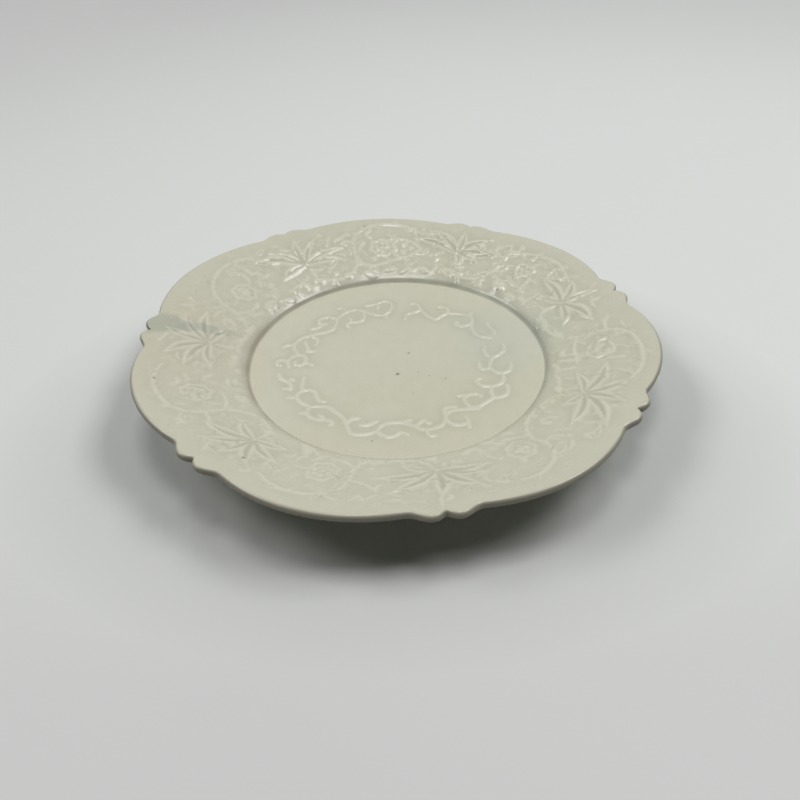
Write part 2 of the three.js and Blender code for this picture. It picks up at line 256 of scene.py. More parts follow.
# Wreath of scrolls in the well, in plan
WREATH = (
    ((-34.4, 22.8), (-31.1, 26.2), (-30, 31.2), (-29.7, 33.7), (-27.3, 38.2), (-24.4, 41.2), (-20.7, 42.4),
     (-17.3, 41.2), (-14, 39.1), (-10.7, 37.2), (-6.5, 36.6)),
    ((-30, 31.2), (-31.1, 34.5), (-34.8, 36.2), (-38.6, 34.5), (-39.4, 31.6), (-37.3, 29.7), (-35.2, 30.3)),
    ((-43.2, 25.8), (-39.8, 26.6), (-37.3, 29.5)),
    ((-30.2, 44.1), (-28.2, 44.9), (-26.5, 43.7)),
    ((-16.9, 40.3), (-16.1, 36.6), (-16.5, 32.8), (-19.8, 30.8), (-23.2, 30.8), (-24.8, 28.7),
     (-23.2, 26.2)),
    ((-24, 35.3), (-22.8, 33.2), (-23.6, 31.2)),
    ((-15.7, 46.3), (-12.3, 46.6), (-9.4, 47.8), (-5.7, 49.7), (-2.8, 48.2), (-1.7, 44.5), (-2.8, 40.3),
     (-5.2, 37.4), (-6.5, 36.2), (-4.4, 34.5)),
    ((-9.4, 47.8), (-9, 43.2)),
    ((-34.4, 22.8), (-39, 21.6), (-43.6, 19.9)),
    ((7.7, 46.6), (11, 46.2), (12.2, 43.2), (13.1, 40.8), (10.2, 38.2), (6.4, 36.6), (4.8, 32)),
    ((13.1, 41.2), (14.8, 37), (17.2, 33.2), (20.6, 31.2), (23.9, 34.1), (27.2, 35.8), (31.8, 35.5),
     (36, 34.1), (38.5, 32), (38.9, 27.8), (38.1, 22), (38.9, 17.4), (41.4, 14.5), (46.8, 13)),
    ((26.8, 35.8), (27.2, 39.5), (25.2, 42), (21, 42.8)),
    ((38.1, 26.6), (36, 24.5), (32.7, 23.8), (30.2, 25.8), (30.6, 27.8), (31.8, 27)),
    ((37.2, 32.8), (39.8, 36.2)),
    ((46.8, 27), (46.4, 23.7), (48.5, 19.5), (48.9, 16.2)),
    ((43.1, 5.3), (42.2, 1.2), (43.9, -2.6)),
    ((51.8, 7), (52.2, 2.8), (49.3, -0.9), (46, -3.8), (44.3, -8), (43.5, -11.3), (46, -15.1),
     (49.3, -15.9), (52.7, -13.8), (53.9, -10.5), (53.9, -7.2)),
    ((38.9, -7.2), (39.3, -12.2), (43.5, -12.2)),
    ((48.9, -16.3), (49.2, -20.1), (47.7, -23.4), (43.5, -25.5), (38.9, -25.1), (36.4, -22.2),
     (37.2, -20.1), (39.3, -19.7)),
    ((43.1, -25.5), (42.2, -30.5), (42.7, -33.8), (38.9, -37.2), (35.2, -40.1), (31.8, -39.7),
     (29.8, -35.5), (31, -31.8), (35.2, -30.9), (37.7, -32.6)),
    ((26.8, -31.8), (31, -31.3)),
    ((50.2, -24.7), (49.8, -30.5), (46.4, -33.4), (43.1, -34)),
    ((36, -41.3), (31.8, -41.3), (25.2, -41.8), (21.8, -43.4), (20.6, -46.8), (22.2, -50.5), (26, -51.8),
     (30.2, -50.5), (29.3, -46.8)),
    ((30.2, -50.5), (30.2, -53.8)),
    ((26, -39.7), (22.7, -39.7), (20.2, -41.3), (20.2, -46.3)),
    ((20.2, -47.2), (19.3, -50.5), (16.4, -53), (11.8, -54.2), (8.5, -53.4), (6, -51.3), (1, -49),
     (-4.8, -49.2), (-8.6, -51.8), (-9, -55.1), (-5.7, -58), (-1.9, -57.6), (0.6, -55.5), (3.9, -57.2)),
    ((7.2, -51.8), (9.3, -49.2), (11.8, -47.2)),
    ((11.4, -49.2), (13.9, -50.1)),
    ((11.8, -54.2), (12.7, -58), (16, -58.4)),
    ((1.8, -48.8), (5.6, -47.2)),
    ((-9, -53.8), (-13.2, -55.5), (-17.3, -55.9), (-21.1, -54.7), (-22.8, -49.7), (-24.8, -44.2),
     (-28.2, -40.1), (-31.5, -36.8), (-35.7, -35.9), (-39.8, -36.3)),
    ((-39.8, -36.3), (-40.7, -40.1), (-39, -43.4), (-34.8, -45.1), (-33.6, -43.4), (-35.7, -41.8)),
    ((-22.8, -48.4), (-20.7, -45.5), (-17.3, -45.1)),
    ((-17.3, -49.7), (-13.2, -49.7), (-9.4, -47.6)),
    ((-34.4, -45.1), (-30.7, -45.9), (-29, -48), (-30.7, -48.8)),
    ((-39.8, -35.9), (-44, -32.6), (-46.1, -29.2), (-45.2, -25.5), (-41.5, -23.8), (-38.2, -25.5),
     (-36.9, -29.7), (-35.2, -32.2), (-32.8, -32.6)),
    ((-50.2, -28.8), (-46.1, -29.2)),
    ((-44.4, -24.2), (-44, -18), (-43.6, -13.8)),
    ((-44, -40.1), (-40.2, -40.9)),
    ((-56.1, -10.5), (-54.8, -14.2), (-51.5, -16.8), (-49.8, -19.7), (-49.4, -22.6), (-53.2, -21.8)),
    ((-50.2, -14.7), (-48.2, -16.3)),
    ((-51.5, -5.9), (-52.3, -2.2), (-50.7, 2), (-47.3, 4.1), (-44.4, 2), (-44, -2.2), (-46.5, -4.7),
     (-49, -3.4), (-48.2, -0.9)),
    ((-44, -2.6), (-40.2, -4.7)),
    ((-52.8, -0.9), (-56.1, 0.3), (-57.8, -1.8), (-56.5, -3.8), (-55.2, -4.2)),
    ((-47.3, 4.1), (-50.2, 9.5), (-49.8, 14.5), (-46.1, 18.7), (-41.9, 19.1), (-39, 15.8), (-39.8, 11.6)),
    ((-45.2, 15.3), (-44.4, 11.6), (-43.2, 8.7), (-43.6, 6.6), (-39.8, 7)),
    ((-50.7, 12.4), (-54, 12.4), (-55.7, 10.8)),
)

# The floor's sink moves what is read off the photo on it
WREATH_MOVE = (0, 2.0)
# How high it stands at its near and far side, as a share of its height
WREATH_SPAN = (-45, 45)
WREATH_SHARES = (0.85, 1.35)

# Relief heights and half widths
VINE_HEIGHT = 0.46
VINE_HALF_WIDTH = 1.8
TWIG_HEIGHT = 0.42
TWIG_HALF_WIDTH = 1.5
LEAFLET_HEIGHT = 0.72
LEAFLET_SPREAD = 1.7
BLOOM_HEIGHT = 0.62
BUD_HEIGHT = 0.55
BUD_HALF_WIDTH = 1.4
SCROLL_HEIGHT = 0.66
SCROLL_HALF_WIDTH = 1.35
SCRATCH_HEIGHT = 0.12
SCRATCH_HALF_WIDTH = 0.5
# How high each bay's relief stands, as a share of these heights
BAY_SHARES = (1.25, 2.0, 1.35, 0.85, 0.95, 1, 0.9)
# How fast a stroke widens from either end, and a petal's half width and its shares at the ends
TAPER_RATES = (5, 4)
PETAL_TAPER = (1.6, 0.8, 0.7)
# How leaflets and furrows swell: start and rate on a half wave, its power, and the least share of the width
LEAFLET_SWELL = (0.2, 0.8, 1.15, 0.12)
GROOVE_SWELL = (0.12, 0.9, 1, 0.1)
SMALL_SPAN_STEPS = 5

# A leaf: where a leaflet starts and its rib lies along its run, how it bows, and the bead in the middle
LEAFLET_START = 0.06
LEAFLET_RIB = (0.05, 0.93)
LEAFLET_BOW = 0.05
LEAF_BEAD_RADIUS = 1.1
LEAF_BEAD_SHARE = 0.6
# Furrows: width as a share of the leaf's, what they take off its height, and their depth in the ground
GROOVE_SHARE = 0.5
SMALL_GROOVE_SHARE = 0.4
GROOVE_CUT = 0.7
GROOVE_DEPTH = 0.08

# A bloom: its ring, and the ranges that its lumps are drawn from, as shares of its radius and height
BLOOM_SEED = 40
BLOOM_LOBES = 7
BLOOM_STEPS = 72
BLOOM_WAVES = (0.08, 0.06)
BLOOM_RING_HALF_WIDTH = 1.5
BLOOM_RING_SHARE = 0.75
BLOOM_LUMP_TURN = (-0.25, 0.25)
BLOOM_LUMP_AWAY = (0.42, 0.6)
BLOOM_LUMP_SIZE = (0.24, 0.34)
BLOOM_LUMP_SHARE = (0.7, 1.1)
BLOOM_MIDDLE_SIZE = 0.26
# A bud: its outline and seeds, along and beside it as shares of its length, and the seeds' size and height
BUD_OUTLINE = (
    (0.5, 0), (0.1, 0.34), (-0.3, 0.46), (-0.5, 0.24), (-0.4, 0), (-0.5, -0.24), (-0.3, -0.46),
    (0.1, -0.34), (0.5, 0),
)
BUD_SEEDS = ((0.14, 0.02), (-0.12, 0.19), (-0.14, -0.15))
BUD_SEED_SIZE = 0.15
BUD_SEED_SHARE = 0.65
# Height of a unit's bead: a part that is fixed, and a part for each millimetre of its radius
BEAD_RISE = (0.3, 0.12)

# Small leaves off a vine: the spaces before, between and after them, and the ranges that each is drawn from
SPRIG_SEED = 80
SPRIG_FIRST = 9
SPRIG_PITCH = 7.5
SPRIG_LAST = 6
SPRIG_HEIGHT = 0.42
SPRIG_REACH = (4, 6.5)
SPRIG_ALONG = (0.4, 0.8)
SPRIG_ASIDE = (0.5, 0.8)
SPRIG_HALF_WIDTH = (1.2, 1.7)
SPRIG_BOW = 0.4

# Small leaves and curls, lumps on the shoulder and beads that fill the ground of a bay: how many, and the
# ranges that each is drawn from
FILL_SEED = 60
FILL_ACROSS = (-42, 42)
FILL_COUNT = 76
FILL_OUT = (76, 110)
FILL_HALF_LENGTH = (1.6, 4.2)
FILL_BOW = (-0.5, 0.5)
CURL_HALF_WIDTH = (1.0, 1.6)
CURL_HEIGHT = (0.2, 0.44)
FILL_LEAF_HALF_WIDTH = (1.2, 1.9)
FILL_LEAF_HEIGHT = (0.25, 0.5)
LUMP_COUNT = 7
LUMP_OUT = (74.5, 79)
LUMP_HALF_LENGTH = (1.5, 4.5)
LUMP_LEAN = (-1.2, 1.2)
LUMP_BOW = (-1, 1)
LUMP_HALF_WIDTH = (1.6, 2.6)
LUMP_HEIGHT = (0.3, 0.55)
BEAD_COUNT = 20
BEAD_OUT = (75, 110)
BEAD_RADIUS = (1.0, 2.2)
BEAD_HEIGHT = (0.14, 0.4)

# Glaze: how far it softens the relief, the level that ridges are told from, and the height of a full one
GLAZE_SOFTENING = 0.32
GLAZE_LEVELLING = 2.4
RIDGE_FULL = 0.2
# How much more ridges tell in the well, in full inside a radius: paler thin glaze on the wreath's lines,
# and a painted highlight on them
WELL_RIDGE_AND_HIGHLIGHT_GAIN = 0.6
WELL_RIDGE_AND_HIGHLIGHT_RADIUS = 60
# How dull the well is, and the widths over which that and the dull foot of the wall fade in
WELL_DULLNESS = 0.4
WELL_DULL_FADE = 4
FOOT_DULL_FADE = 0.6
# How strongly it pools at the foot of the wall, with painted shade on the wall, how much more painted shade
# at the far side, and where left turns right
POOL_AND_SHADE_STRENGTH = 0.82
FAR_WALL_SHADE_GAIN = 0.08
FAR_WALL_SHADE_SPAN = (-10, 62)
POOL_SIDE = 35
# Between which radii it deepens and thins out, and by what power it thins
POOL_RISE = (WALL_FOOT[0] - 0.4, WALL_HIGH[0] - 0.6)
POOL_FALL = (WALL_HIGH[0] - 0.5, SHOULDER_END[0] - 0.5)
POOL_FALL_POWER = 1.9
# Waves in that, and swells and ripples of the clay: seed, count, shortest and longest wave, and height
POOL_WAVES = (14, 8, 6, 24, 0.05)
SWELLS = (11, 9, 14, 38, 0.022)
RIPPLES = (12, 14, 5, 11, 0.026)
# Radii between which the ripples begin and end, and the width over which the swells end
RIPPLES_BEGIN = (SHOULDER_RADIUS, SHOULDER_RADIUS + 4)
RIPPLES_END = (114, 106)
SWELLS_END = 6

# Pits and iron specks in the glaze: place in plan and radius, and depth as a share of the radius
FLAWS = (
    (0.1, -11.5, 0.8), (5.8, 4.8, 0.5), (14.8, -13.6, 0.3), (22.4, -16.5, 0.35), (9.8, -10.9, 0.25),
    (7, -26.5, 0.25), (-11.8, -58.1, 0.35), (-106.7, -30.8, 0.55), (54, 52.2, 0.5), (-62, -80, 0.7),
    (-16, 111.5, 0.5),
)
FLAW_DEPTH_SHARE = 0.4
# Fine raised scratches near the middle, in plan
SCRATCHES = (
    ((-5.6, -8.1), (-3.4, -8.9), (-1.6, -8.5)),
    ((-3, -10.5), (-1.4, -11.3)),
    ((1.6, -8.3), (3.4, -7.7)),
)

# A grey-green run of glaze beside one notch: distances from the axis, bearings, half widths and strengths
RUN_RADII = (78, 83, 90, 98, 104, 112, 120)
RUN_BEARINGS = (168.6, 168.8, 169.6, 171.4, 172.5, 173.5, 175)
RUN_HALF_WIDTHS = (1.4, 2.2, 2.9, 3.2, 4.2, 7.4, 8.6)
RUN_STRENGTHS = (0, 0.75, 0.95, 0.95, 1, 1, 1)
# Where its edge ends and is full, as shares of the half width, and how it wanders: size, length and phase
RUN_EDGE = (1.35, 0.7)
RUN_WANDER = ((0.8, 2.1, 0), (0.5, 0.9, 1))
# A cooler patch in the well, which is a painted reflection, and a warmer one on the rim: place in plan, and
# where they end and are full
COOL_REFLECTION_PATCH = ((52, 14), 40, 6)
WARM_PATCH = ((-104, -4), 62, 20)

# Colours of the glaze in a recess, on the ground and on a crest
GLAZE = ((0.512, 0.498, 0.400), (0.563, 0.547, 0.443), (0.612, 0.596, 0.492))
# Noise that tints it: scale, detail, the values that it runs between, and the tint
NOISE_TINTS = (
    (22, 3, 0.3, 0.7, (0.97, 0.985, 0.97)),
    (150, 2, 0.3, 0.7, (0.965, 0.968, 0.96)),
    (9, 1, 0.35, 0.65, (1.0, 0.995, 0.985)),
    (900, 2, 0.42, 0.7, (0.97, 0.972, 0.96)),
)
# Shares of the skin that tint it
SHARE_TINTS = dict(
    groove=(0.89, 0.89, 0.875),
    # The pools at the foot of the wall: glaze pooled there, and painted shade on the wall
    pool_and_shade_left=(0.62, 0.60, 0.59),
    pool_and_shade_right=(0.69, 0.72, 0.725),
    # The cooler patch in the well: a painted reflection
    cool_reflection=(0.965, 0.99, 1.01),
    warm=(1.0, 0.978, 0.975),
    # The lip: a warmer tone where the glaze is thin at the edge, and painted shade on its outer face
    lip=(0.41, 0.385, 0.365),
    # The underside: darker and cooler, painted shade
    under=(0.88, 0.92, 0.93),
    run=(0.78, 0.825, 0.83),
)
SHARES = ("ridge", "flaw", "dull", *SHARE_TINTS)
# Specks and pits: colour and strength, and the noise that the specks are taken from
SPECK = (0.33, 0.30, 0.23)
SPECK_STRENGTH = 0.5
SPECK_NOISE = (420, 1, 0.785, 0.81)
PIT = (0.09, 0.075, 0.055)
PIT_STRENGTH = 0.9
# Roughness: the noise that it runs with and its ends, the dull one, and a fine grain as noise and depth
GLAZE_ROUGHNESS_NOISE = (160, 3, 0.3, 0.7)
GLAZE_ROUGHNESS = (0.2, 0.3)
DULL_ROUGHNESS = 0.42
GLAZE_GRAIN = (650, 2, 0.00003)
# Foot ring: its glaze and its clay with their noise, how rough each is, and the grain
FOOT_GLAZE = ((0.52, 0.505, 0.405), (0.575, 0.558, 0.45))
FOOT_CLAY = ((0.40, 0.31, 0.21), (0.53, 0.43, 0.31))
FOOT_GLAZE_NOISE = (90, 4, 0.3, 0.7)
FOOT_CLAY_NOISE = (500, 4)
FOOT_CLAY_ENDS = (0.3, 0.7)
FOOT_ROUGHNESS = (0.22, 0.78)
FOOT_GRAIN = (1400, 3, 0.00006)
# Floor, in metres: its colour, a brighter one in a patch behind the plate, which is painted light, and a
# darker tint close round the plate, which is a painted shadow
FLOOR_HALF = 4
FLOOR_STEPS = 100
FLOOR_COLOURS = ((0.54, 0.546, 0.538), (0.565, 0.571, 0.562))
FLOOR_NOISE = (3, 3, 0.3, 0.7)
FLOOR_PAINTED_LIGHT = (0.665, 0.68, 0.667)
FLOOR_PAINTED_LIGHT_PATCH = ((0.15, 0.15), 0.8, 0.15)
FLOOR_PAINTED_LIGHT_START = (-0.22, 0)
FLOOR_PAINTED_SHADOW = (0.82, 0.82, 0.815)
FLOOR_PAINTED_SHADOW_REACH = (0.2, 0.15)
FLOOR_PAINTED_SHADOW_FRONT = 0.02
FLOOR_PAINTED_SHADOW_ENDS = (0.05, 0.38)
FLOOR_ROUGHNESS = 0.6
FLOOR_GRAIN = (800, 2, 0.00002)

# Camera, as seen from the middle of the rim's top: millimetres, degrees and pixels of a square picture
PICTURE_SIZE = 800
FOCAL_PIXELS = 830
CAMERA_ELEVATION = 34.28
CAMERA_DISTANCE = 389.8
CAMERA_ROLL = 1.98
RIM_MIDDLE_PIXEL = (401.7, 330.9)
SENSOR_WIDTH = 36

# Light: a panel on either side and one overhead, as place, size and power in metres and watts, and a fill
PANELS = dict(
    left_panel=((-1.7, 0.25, 1.95), (1.3, 0.8), 24.8),
    right_panel=((1.45, 0.25, 2.1), (1.3, 0.8), 32.9),
    top_panel=((0, 0.02, 2.2), (0.7, 0.8), 15),
)
FILL_LEVEL = 0.018
FILL_COLOUR = (0.95, 0.98, 1.0, 1)
BACKDROP_COLOUR = (0.66, 0.675, 0.665, 1)


def flange_z(radius):
    rise = LIP_TOP - SHOULDER_Z
    return SHOULDER_Z + rise * (radius - SHOULDER_RADIUS) / (LIP_RADIUS - SHOULDER_RADIUS)


def smooth(low, high, value):
    t = np.clip((value - low) / (high - low), 0, 1)
    return t * t * (3 - 2 * t)


def edge_radius(theta):
    """Distance from the axis to the lobed edge at each bearing."""
    notches = np.radians(np.array(NOTCH_BEARINGS + (NOTCH_BEARINGS[0] + 360,)))
    turned = (theta - notches[0]) % (2 * np.pi) + notches[0]
    bay = np.clip(np.searchsorted(notches, turned, side="right") - 1, 0, BAYS - 1)
    half_bay = (notches[bay + 1] - notches[bay]) / 2 * LOBE_RADIUS
    reach = np.minimum(turned - notches[bay], notches[bay + 1] - turned) * LOBE_RADIUS
    bump = BUMP_DEPTH + (NOTCH_DEPTH - BUMP_DEPTH) * np.clip(1 - reach / BUMP_REACH, 0, 1) ** 2
    down = np.clip((reach - BUMP_REACH) / (FLANK_REACH - BUMP_REACH), 0, 1)
    flank = BUMP_DEPTH + (FLANK_DEPTH - BUMP_DEPTH) * (0.5 - 0.5 * np.cos(np.pi * down))
    up = np.clip((reach - FLANK_REACH) / (half_bay - FLANK_REACH), 0, 1)
    lobe = FLANK_DEPTH * (0.5 + 0.5 * np.cos(np.pi * up**LOBE_FULLNESS))
    depth = np.where(reach < BUMP_REACH, bump, np.where(reach < FLANK_REACH, flank, lobe))
    nearest = np.where(turned - notches[bay] < notches[bay + 1] - turned, bay, (bay + 1) % BAYS)
    depth = depth * np.array(NOTCH_SHARES)[nearest]
    return LOBE_RADIUS - depth + WIDENING * np.cos(theta) ** 2 * smooth(*WIDENING_REACH, reach)


def rim_warp(theta, radius):
    once = WARP_ONCE[0] * np.cos(theta) + WARP_ONCE[1] * np.sin(theta)
    twice = WARP_TWICE[0] * np.cos(2 * theta) + WARP_TWICE[1] * np.sin(2 * theta)
    return (once + twice) * np.clip((radius - SHOULDER_RADIUS) / (LOBE_RADIUS - SHOULDER_RADIUS), 0, None)


def line(start, end, step):
    count = max(1, math.ceil(math.dist(start, end) / step))
    t = np.linspace(0, 1, count + 1)[1:, None]
    return np.array(start) * (1 - t) + np.array(end) * t


def bend(start, corner, end, count):
    """A curve from start to end that is drawn towards the corner."""
    t = np.linspace(0, 1, count + 1)[1:, None]
    return np.array(start) * (1 - t) ** 2 + 2 * np.array(corner) * t * (1 - t) + np.array(end) * t**2


def lip_round():
    """The edge from its top to its underside: between a half circle and a square."""
    turn = np.radians(np.linspace(90, -90, 2 * LIP_STEPS + 1)[1:])
    power = 2 / EDGE_SQUARENESS
    out = LIP_RADIUS + LIP_ROUND * np.abs(np.cos(turn)) ** power
    z = LIP_TOP - LIP_ROUND + LIP_ROUND * np.sign(np.sin(turn)) * np.abs(np.sin(turn)) ** power
    return np.stack([out, z], 1)


def over_floor(corner):
    return corner[0], FLOOR_Z + corner[1]


def plate_profile():
    """Section of the plate from the middle of the floor over the lip to the middle of the underside."""
    foot, foot_corner, wall_low = over_floor(WALL_FOOT), over_floor(FOOT_CORNER), over_floor(WALL_LOW)
    wall_high, shoulder_corner = over_floor(WALL_HIGH), over_floor(SHOULDER_CORNER)
    shoulder_end = over_floor(SHOULDER_END)
    flange_start = (FLANGE_START, flange_z(FLANGE_START))
    lip = lip_round()
    trim = (TRIM_RADIUS, flange_z(TRIM_RADIUS) - FLANGE_THICKNESS)
    heel = (HEEL_RADIUS, flange_z(HEEL_RADIUS) - FLANGE_THICKNESS)
    heel_corner = (HEEL_RADIUS - HEEL_ROUND, flange_z(HEEL_RADIUS - HEEL_ROUND) - FLANGE_THICKNESS)
    seat = (SEAT_RADIUS, FOOT_HEIGHT)
    top = [
        line((0, FLOOR_Z), (MIDDLE_RADIUS, FLOOR_Z), MIDDLE_STEP),
        line((MIDDLE_RADIUS, FLOOR_Z), (PLAIN_RADIUS, FLOOR_Z), RELIEF_STEP),
        line((PLAIN_RADIUS, FLOOR_Z), foot, RELIEF_STEP),
        bend(foot, foot_corner, wall_low, FOOT_BEND_STEPS),
        line(wall_low, wall_high, RELIEF_STEP),
        bend(wall_high, shoulder_corner, shoulder_end, SHOULDER_BEND_STEPS),
        bend(shoulder_end, over_floor(FLANGE_CORNER), flange_start, FLANGE_BEND_STEPS),
        line(flange_start, (LIP_RADIUS, LIP_TOP), RELIEF_STEP),
        lip[:LIP_STEPS],
    ]
    under = [
        lip[LIP_STEPS:],
        line(lip[-1], trim, TRIM_STEP),
        line(trim, heel, HEEL_STEP),
        bend(heel, heel_corner, seat, HEEL_BEND_STEPS),
        line(seat, (MIDDLE_RADIUS, FOOT_HEIGHT), BASE_STEP),
    ]
    return np.concatenate(top), np.concatenate(under)


def catmull(points, per_span=8):
    """A smooth line through given points."""
    p = np.array(points, float)
    p = np.concatenate([2 * p[:1] - p[1:2], p, 2 * p[-1:] - p[-2:-1]])
    t = np.linspace(0, 1, per_span, endpoint=False)[:, None]
    spans = []
    for a, b, c, d in zip(p, p[1:], p[2:], p[3:]):
        curve = 2 * b + (c - a) * t + (2 * a - 5 * b + 4 * c - d) * t**2 + (3 * b - a - 3 * c + d) * t**3
        spans.append(0.5 * curve)
    return np.concatenate(spans + [p[-2:-1]])


def cord(u):
    """Rounded cord: height over the distance from its middle, as a share of the half width."""
    return smooth(1, 0, u)


def blade(u):
    """Leaflet: a low crown that runs out softly into the ground."""
    return smooth(1.0, 0.3, u)


def furrow(u):
    return np.clip(1 - u**2, 0, 1)


def dome(u):
    return np.clip(1 - u**2, 0, 1) ** 0.9


class Relief:
    """Heights raised on the top of the plate, and furrows cut in them, over its grid of places in plan."""

    def __init__(self, x, y):
        self.x = x
        self.y = y
        self.height = np.zeros_like(x)
        self.groove = np.zeros_like(x)
        self.set_out(None, 1)

    def set_out(self, unit, share):
        """Places that follow are a unit's, or in plan if it is None, and heights are taken by a share."""
        self.unit = unit
        self.share = share

    def plan(self, points):
        """Plan places of points, which a unit gives across and out from its notch."""
        p = np.array(points, float).reshape(-1, 2)
        if self.unit is None:
            return p
        bearing = math.radians(NOTCH_BEARINGS[self.unit]) - p[:, 0] / BAND_RADIUS
        return np.stack([p[:, 1] * np.cos(bearing), p[:, 1] * np.sin(bearing)], 1)

    def across(self, points, half_width):
        """Where the grid lies near a line, and how far off it as a share of the half width there."""
        points = self.plan(points)
        width = half_width if callable(half_width) else (lambda t: half_width + 0 * t)
        reach = width(np.linspace(0, 1, 20)).max()
        low = points.min(0) - reach
        high = points.max(0) + reach
        near = (self.x > low[0]) & (self.x < high[0]) & (self.y > low[1]) & (self.y < high[1])
        place = np.stack([self.x[near], self.y[near]], 1)
        best = np.full(len(place), np.inf)
        along = np.zeros(len(place))
        spans = np.diff(points, axis=0)
        lengths = np.maximum(np.linalg.norm(spans, axis=1), 1e-9)
        starts = np.concatenate([[0], np.cumsum(lengths)[:-1]])
        for start, span, length, before in zip(points, spans, lengths, starts):
            t = np.clip((place - start) @ span / length**2, 0, 1)
            away = np.linalg.norm(place - start - t[:, None] * span, axis=1)
            closer = away < best
            best[closer] = away[closer]
            along[closer] = (before + t[closer] * length) / lengths.sum()
        return near, best / np.maximum(width(along), 1e-6)

    def stroke(self, points, half_width, height, section):
        """Raises a strip along points; half_width may run along it as a function of 0 to 1."""
        near, u = self.across(points, half_width)
        raised = np.where(u < 1, self.share * height * section(u), 0)
        self.height[near] = np.maximum(self.height[near], raised)

    def score(self, points, half_width):
        """Cuts a furrow along points."""
        near, u = self.across(points, half_width)
        self.groove[near] = np.maximum(self.groove[near], np.where(u < 1, furrow(u), 0))

    def bead(self, place, radius, height):
        x, y = self.plan(place)[0]
        away = np.hypot(self.x - x, self.y - y)
        self.height = np.maximum(self.height, self.share * height * dome(away / radius))


def tapered(value, start=0.6, end=0.5):
    """Thinner towards both ends of a stroke, which have these shares of its width."""
    first, last = TAPER_RATES
    return lambda t: value * np.minimum(1, np.minimum(start + first * t, end + last * (1 - t)))


def swelling(value, start, rate, power, least):
    """Wider in the middle of a stroke than at its ends."""
    return lambda t: value * np.maximum(np.sin(np.pi * np.clip(start + rate * t, 0, 1) ** power), least)


def leaflet_width(value):
    return swelling(value, *LEAFLET_SWELL)


def groove_width(value):
    return swelling(value, *GROOVE_SWELL)


def beside(along):
    """A vector turned left by a quarter."""
    return np.array([-along[1], along[0]])


def raise_leaf(relief, middle, leaflets):
    middle = np.array(middle)
    for across, out, half_width in leaflets:
        tip = np.array([across, out])
        run = tip - middle
        halfway = middle + 0.5 * run + LEAFLET_BOW * beside(run) * np.sign(run[0])
        path = catmull([middle + LEAFLET_START * run, halfway, tip])
        relief.stroke(path, leaflet_width(LEAFLET_SPREAD * half_width), LEAFLET_HEIGHT, blade)
        rib = catmull([middle + LEAFLET_RIB[0] * run, halfway, middle + LEAFLET_RIB[1] * run])
        relief.score(rib, groove_width(GROOVE_SHARE * half_width))
    relief.bead(middle, LEAF_BEAD_RADIUS, LEAF_BEAD_SHARE * LEAFLET_HEIGHT)


def raise_small_leaf(relief, path, width, height):
    relief.stroke(path, leaflet_width(width), height, blade)
    relief.score(path, groove_width(SMALL_GROOVE_SHARE * width))


def raise_bloom(relief, across, out, radius):
    """A rosette worn soft: a wavy outer ring round a cluster of lumps."""
    rng = np.random.default_rng(BLOOM_SEED + relief.unit)
    turn = np.linspace(0, 2 * np.pi, BLOOM_STEPS + 1)
    lobes = BLOOM_WAVES[0] * np.cos(BLOOM_LOBES * turn + relief.unit)
    reach = radius * (1 + lobes + BLOOM_WAVES[1] * np.sin(2 * turn + relief.unit))
    ring = np.stack([across + reach * np.cos(turn), out + reach * np.sin(turn)], 1)
    relief.stroke(ring, BLOOM_RING_HALF_WIDTH, BLOOM_RING_SHARE * BLOOM_HEIGHT, cord)
    for i in range(BLOOM_LOBES):
        bearing = 2 * np.pi * (i + rng.uniform(*BLOOM_LUMP_TURN)) / BLOOM_LOBES
        away = radius * rng.uniform(*BLOOM_LUMP_AWAY)
        lump = (across + away * math.cos(bearing), out + away * math.sin(bearing))
        size = radius * rng.uniform(*BLOOM_LUMP_SIZE)
        relief.bead(lump, size, BLOOM_HEIGHT * rng.uniform(*BLOOM_LUMP_SHARE))
    relief.bead((across, out), BLOOM_MIDDLE_SIZE * radius, BLOOM_HEIGHT)


def raise_bud(relief, across, out, length, bearing):
    """A heart-shaped bud: its outline, and seeds inside it."""
    turn = math.radians(bearing)
    middle = np.array((across, out))
    along = np.array([math.cos(turn), math.sin(turn)])
    aside = beside(along)
    path = [middle + length * (a * along + b * aside) for a, b in BUD_OUTLINE]
    relief.stroke(catmull(path), BUD_HALF_WIDTH, BUD_HEIGHT, cord)
    for a, b in BUD_SEEDS:
        seed = middle + length * (a * along + b * aside)
        relief.bead(seed, BUD_SEED_SIZE * length, BUD_SEED_SHARE * BUD_HEIGHT)


def raise_ground(relief):
    """Small leaves, curls, lumps and beads that fill the ground between the larger forms."""
    rng = np.random.default_rng(FILL_SEED + relief.unit)
    for i in range(FILL_COUNT):
        middle = np.array([rng.uniform(*FILL_ACROSS), rng.uniform(*FILL_OUT)])
        bearing = rng.uniform(0, 2 * np.pi)
        half = rng.uniform(*FILL_HALF_LENGTH)
        along = half * np.array([math.cos(bearing), math.sin(bearing)])
        bow = rng.uniform(*FILL_BOW) * beside(along)
        path = catmull([middle - along, middle + bow, middle + along], SMALL_SPAN_STEPS)
        if i % 2:
            relief.stroke(path, tapered(rng.uniform(*CURL_HALF_WIDTH)), rng.uniform(*CURL_HEIGHT), cord)
        else:
            width = rng.uniform(*FILL_LEAF_HALF_WIDTH)
            raise_small_leaf(relief, path, width, rng.uniform(*FILL_LEAF_HEIGHT))
    for _ in range(LUMP_COUNT):
        middle = np.array([rng.uniform(*FILL_ACROSS), rng.uniform(*LUMP_OUT)])
        along = np.array([rng.uniform(*LUMP_HALF_LENGTH), rng.uniform(*LUMP_LEAN)])
        bow = (0, rng.uniform(*LUMP_BOW))
        path = catmull([middle - along, middle + bow, middle + along], SMALL_SPAN_STEPS)
        relief.stroke(path, tapered(rng.uniform(*LUMP_HALF_WIDTH)), rng.uniform(*LUMP_HEIGHT), dome)
    for _ in range(BEAD_COUNT):
        spot = (rng.uniform(*FILL_ACROSS), rng.uniform(*BEAD_OUT))
        relief.bead(spot, rng.uniform(*BEAD_RADIUS), rng.uniform(*BEAD_HEIGHT))


